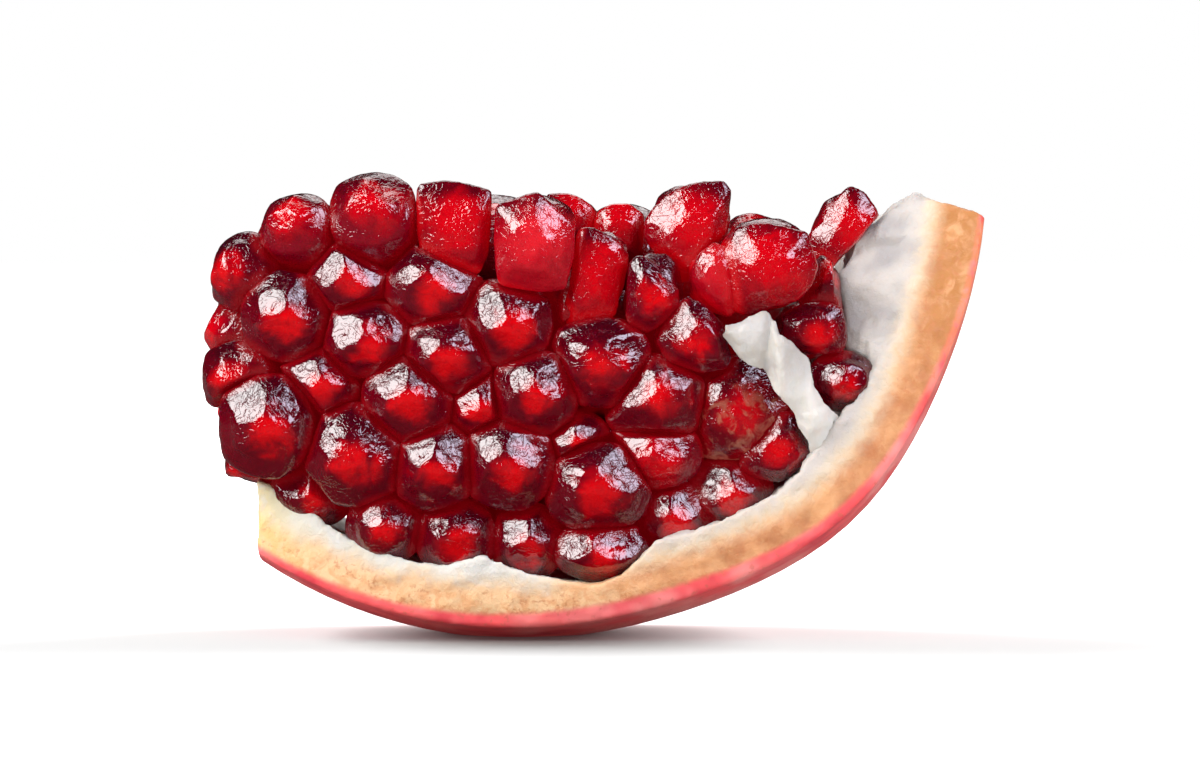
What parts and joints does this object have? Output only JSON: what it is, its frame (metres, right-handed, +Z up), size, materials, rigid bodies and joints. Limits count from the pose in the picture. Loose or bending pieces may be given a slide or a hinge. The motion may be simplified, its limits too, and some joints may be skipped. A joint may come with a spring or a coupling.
{
  "type": "pomegranate section",
  "caption": "Section broken off a ripe pomegranate: a curved piece of rind with a torn septum flap, filled with packed red arils, lying on the outside of its rind.",
  "frame": {"origin": "middle of the flat spot on the rind that it lies on", "axes": "+Z up, +X along the section's length towards the tall torn end of the rind, -Y towards the torn front face"},
  "size_m": [0.0826, 0.0306, 0.0488],
  "materials": {
    "rind": "satin coral-red skin outside, torn orange to cream edge, matte white pith inside",
    "septum": "soft matte cream-white membrane",
    "aril": "wet, glossy, translucent deep red juice sac"
  },
  "bodies": {
    "root": {"aril_chamber_1": "aril", "aril_chamber_2": "aril", "aril_crown_1": "aril", "aril_crown_2": "aril", "aril_crown_3": "aril", "aril_crown_4": "aril", "aril_crown_5": "aril", "aril_crown_6": "aril", "aril_floor_1": "aril", "aril_floor_2": "aril", "aril_floor_3": "aril", "aril_floor_4": "aril", "aril_floor_5": "aril", "aril_floor_6": "aril", "aril_floor_7": "aril", "aril_inner_1": "aril", "aril_inner_2": "aril", "aril_inner_3": "aril", "aril_inner_4": "aril", "aril_inner_5": "aril", "aril_lower_1": "aril", "aril_lower_2": "aril", "aril_lower_3": "aril", "aril_lower_4": "aril", "aril_lower_5": "aril", "aril_lower_6": "aril", "aril_lower_7": "aril", "aril_lower_8": "aril", "aril_middle_1": "aril", "aril_middle_10": "aril", "aril_middle_11": "aril", "aril_middle_12": "aril", "aril_middle_2": "aril", "aril_middle_3": "aril", "aril_middle_4": "aril", "aril_middle_5": "aril", "aril_middle_6": "aril", "aril_middle_7": "aril", "aril_middle_8": "aril", "aril_middle_9": "aril", "aril_side_1": "aril", "aril_side_2": "aril", "aril_side_3": "aril", "aril_upper_1": "aril", "aril_upper_2": "aril", "aril_upper_3": "aril", "aril_upper_4": "aril", "aril_upper_5": "aril", "aril_upper_6": "aril", "aril_upper_7": "aril", "aril_upper_8": "aril", "arils_back_row_1": "aril", "arils_back_row_2": "aril", "arils_back_row_3": "aril", "arils_back_row_4": "aril", "arils_back_row_5": "aril", "arils_back_row_6": "aril", "arils_core_row": "aril", "rind": "rind", "septum_flap": "septum"}
  },
  "joints": []
}
